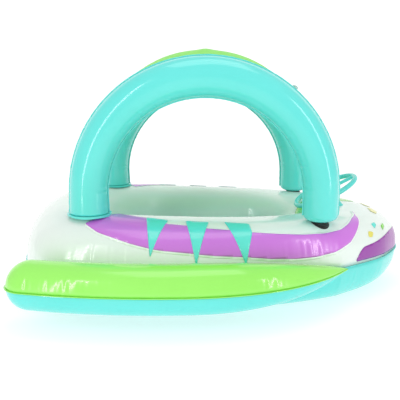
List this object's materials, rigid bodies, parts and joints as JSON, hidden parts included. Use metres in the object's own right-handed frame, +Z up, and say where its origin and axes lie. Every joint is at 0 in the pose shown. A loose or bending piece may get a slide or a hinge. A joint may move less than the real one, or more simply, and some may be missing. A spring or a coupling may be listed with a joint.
{
  "type": "inflatable toddler float boat",
  "caption": "Inflatable toddler float boat with wing tubes, two arch tubes holding a canopy sheet, and a steering wheel on the fore deck.",
  "frame": {"origin": "on the ground under the middle of the boat's length and width", "axes": "+X towards the nose, +Y to port, +Z up"},
  "size_m": [1.098, 0.9906, 0.6708],
  "materials": {
    "white_vinyl": "glossy soft vinyl film",
    "teal_vinyl": "glossy soft vinyl film",
    "lime_vinyl": "glossy soft vinyl film",
    "clear_vinyl": "translucent soft vinyl",
    "teal_plastic": "moulded plastic",
    "white_plastic": "moulded plastic",
    "hook_and_loop": "woven hook-and-loop tape"
  },
  "bodies": {
    "hull": {"cockpit_floor": "white_vinyl", "hull_bottom_skin": "teal_vinyl", "hull_inner_weld": "clear_vinyl", "hull_outer_weld": "teal_vinyl", "hull_top_skin": "white_vinyl", "hull_valve": "clear_vinyl", "port_arch_root_collar": "teal_vinyl", "port_hull_loop_pad": "hook_and_loop", "port_wing_bottom_skin": "teal_vinyl", "port_wing_top_skin": "lime_vinyl", "port_wing_valve": "clear_vinyl", "port_wing_weld": "teal_vinyl", "starboard_arch_root_collar": "teal_vinyl", "starboard_hull_loop_pad": "hook_and_loop", "starboard_wing_bottom_skin": "teal_vinyl", "starboard_wing_top_skin": "lime_vinyl", "starboard_wing_valve": "clear_vinyl", "starboard_wing_weld": "teal_vinyl", "wheel_base": "teal_plastic", "wheel_clip": "white_plastic", "wheel_spindle": "white_plastic"},
    "sunshade": {"canopy": "lime_vinyl", "port_arch_hook_pad": "hook_and_loop", "port_arch_inboard_skin": "teal_vinyl", "port_arch_outboard_skin": "teal_vinyl", "port_arch_valve": "clear_vinyl", "port_arch_weld": "teal_vinyl", "starboard_arch_hook_pad": "hook_and_loop", "starboard_arch_inboard_skin": "teal_vinyl", "starboard_arch_outboard_skin": "teal_vinyl", "starboard_arch_valve": "clear_vinyl", "starboard_arch_weld": "teal_vinyl"},
    "wheel": {"steering_wheel": "teal_plastic", "wheel_hub_cap": "teal_plastic"},
    "hull_valve_stopper": {"hull_valve_stopper": "clear_vinyl"},
    "port_arch_valve_stopper": {"port_arch_valve_stopper": "clear_vinyl"},
    "port_wing_valve_stopper": {"port_wing_valve_stopper": "clear_vinyl"},
    "starboard_arch_valve_stopper": {"starboard_arch_valve_stopper": "clear_vinyl"},
    "starboard_wing_valve_stopper": {"starboard_wing_valve_stopper": "clear_vinyl"}
  },
  "joints": [
    {"name": "sunshade_lift", "type": "hinge", "parent": "hull", "child": "sunshade", "pos_m": [-0.382, 0, 0.24482], "axis": [0, -1, 0], "range_deg": [0, 60]},
    {"name": "wheel_spin", "type": "hinge", "parent": "hull", "child": "wheel", "pos_m": [0.327, 0, 0.262], "axis": [-0.454, 0, 0.891], "continuous": true},
    {"name": "hull_stopper_flip", "type": "hinge", "parent": "hull", "child": "hull_valve_stopper", "pos_m": [-0.40792, 0.15, 0.25227], "axis": [0, -1, 0], "range_deg": [0, 140]},
    {"name": "port_wing_stopper_flip", "type": "hinge", "parent": "hull", "child": "port_wing_valve_stopper", "pos_m": [-0.34875, 0.38584, 0.04201], "axis": [-0.1418, 0.8951, -0.4226], "range_deg": [0, 140]},
    {"name": "starboard_wing_stopper_flip", "type": "hinge", "parent": "hull", "child": "starboard_wing_valve_stopper", "pos_m": [-0.34875, -0.38584, 0.04201], "axis": [0.1418, 0.8951, 0.4226], "range_deg": [0, 140]},
    {"name": "port_arch_stopper_flip", "type": "hinge", "parent": "sunshade", "child": "port_arch_valve_stopper", "pos_m": [0.19144, 0.21615, 0.56866], "axis": [-0.1772, -0.9613, -0.2111], "range_deg": [0, 140]},
    {"name": "starboard_arch_stopper_flip", "type": "hinge", "parent": "sunshade", "child": "starboard_arch_valve_stopper", "pos_m": [0.19144, -0.21615, 0.56866], "axis": [0.1772, -0.9613, 0.2111], "range_deg": [0, 140]}
  ]
}
